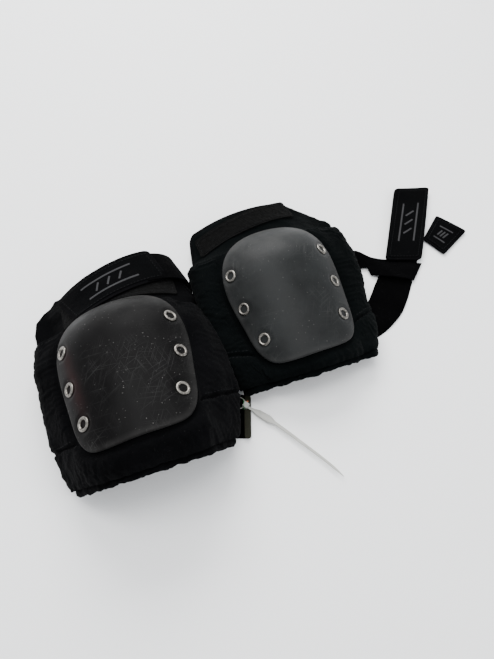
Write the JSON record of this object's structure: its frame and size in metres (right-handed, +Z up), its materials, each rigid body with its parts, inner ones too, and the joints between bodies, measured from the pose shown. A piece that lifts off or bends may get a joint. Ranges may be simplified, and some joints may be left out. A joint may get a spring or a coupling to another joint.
{
  "type": "knee pads",
  "caption": "Pair of hard-cap knee pads on padded fabric sleeves with hook-and-loop straps, lying on their backs and joined by a nylon tie.",
  "frame": {"origin": "centre of the bounding box, on the surface that the pads lie on", "axes": "+X across the two pads towards the one with loose straps, +Y from the shin end to the thigh end, +Z up out of the caps"},
  "size_m": [0.5568, 0.3342, 0.099],
  "materials": {
    "cap_shell": "satin, scuffed",
    "eyelet_metal": "antique nickel",
    "cover_nylon": "woven",
    "stretch_back": "knit",
    "lining_knit": "knit",
    "foam": "closed cell foam",
    "binding_tape": "ribbed tape",
    "loop_tape": "looped pile",
    "elastic_web": "ribbed elastic",
    "tab_fabric": "woven",
    "label_print": "satin woven with a grey mark",
    "tie_nylon": "translucent"
  },
  "bodies": {
    "left_pad": {"left_cap": "cap_shell", "left_cap_eyelets": "eyelet_metal", "left_eyelet_washers": "eyelet_metal", "left_front_cover": "cover_nylon", "left_knee_foam": "foam", "left_left_wing_foam": "foam", "left_right_wing_foam": "foam", "left_lining": "lining_knit", "left_back_panel": "stretch_back", "left_shin_hem": "binding_tape", "left_flap_cover": "cover_nylon", "left_flap_foam": "foam", "left_flap_lining": "lining_knit", "left_flap_binding": "binding_tape", "left_loop_strip": "loop_tape", "left_upper_strap": "elastic_web", "left_lower_strap": "elastic_web", "tie_loop": "tie_nylon"},
    "left_strap_end": {"left_upper_tab": "tab_fabric", "left_upper_label": "label_print"},
    "right_pad": {"right_cap": "cap_shell", "right_cap_eyelets": "eyelet_metal", "right_eyelet_washers": "eyelet_metal", "right_front_cover": "cover_nylon", "right_knee_foam": "foam", "right_left_wing_foam": "foam", "right_right_wing_foam": "foam", "right_lining": "lining_knit", "right_back_panel": "stretch_back", "right_shin_hem": "binding_tape", "right_upper_strap": "elastic_web", "right_lower_strap": "elastic_web"},
    "right_flap": {"right_flap_cover": "cover_nylon", "right_flap_foam": "foam", "right_flap_lining": "lining_knit", "right_flap_binding": "binding_tape", "right_loop_strip": "loop_tape"},
    "right_upper_strap_end": {"right_upper_tab": "tab_fabric", "right_upper_label": "label_print"},
    "right_lower_strap_end": {"right_lower_tab": "tab_fabric", "right_lower_label": "label_print"},
    "tie_tail": {"tie_tail": "tie_nylon"}
  },
  "joints": [
    {"name": "right_pad_swing", "type": "hinge", "parent": "left_pad", "child": "right_pad", "pos_m": [-0.0901, -0.0589, 0.0024], "axis": [0, 0, 1], "range_deg": [-15, 0]},
    {"name": "right_flap_flex", "type": "hinge", "parent": "right_pad", "child": "right_flap", "pos_m": [-0.0036, 0.10923, 0.0345], "axis": [0.999, 0.0147, 0.0425], "range_deg": [-5, 5], "stiffness_Nm_per_rad": 0.6},
    {"name": "right_upper_strap_lift", "type": "hinge", "parent": "right_pad", "child": "right_upper_strap_end", "pos_m": [0.1719, 0.0551, 0.0044], "axis": [0.9549, -0.297, 0], "range_deg": [0, 100]},
    {"name": "right_lower_strap_lift", "type": "hinge", "parent": "right_pad", "child": "right_lower_strap_end", "pos_m": [0.2279, 0.0861, 0.0006], "axis": [-0.4961, -0.8682, 0], "range_deg": [0, 80]},
    {"name": "left_strap_peel", "type": "hinge", "parent": "left_pad", "child": "left_strap_end", "pos_m": [-0.12527, 0.1077, 0.0395], "axis": [-0.2401, 0.9695, -0.05], "range_deg": [0, 70]},
    {"name": "tie_swing", "type": "hinge", "parent": "left_pad", "child": "tie_tail", "pos_m": [-0.0836, -0.0649, 0.004], "axis": [0, 0, 1], "range_deg": [-12, 12]}
  ]
}
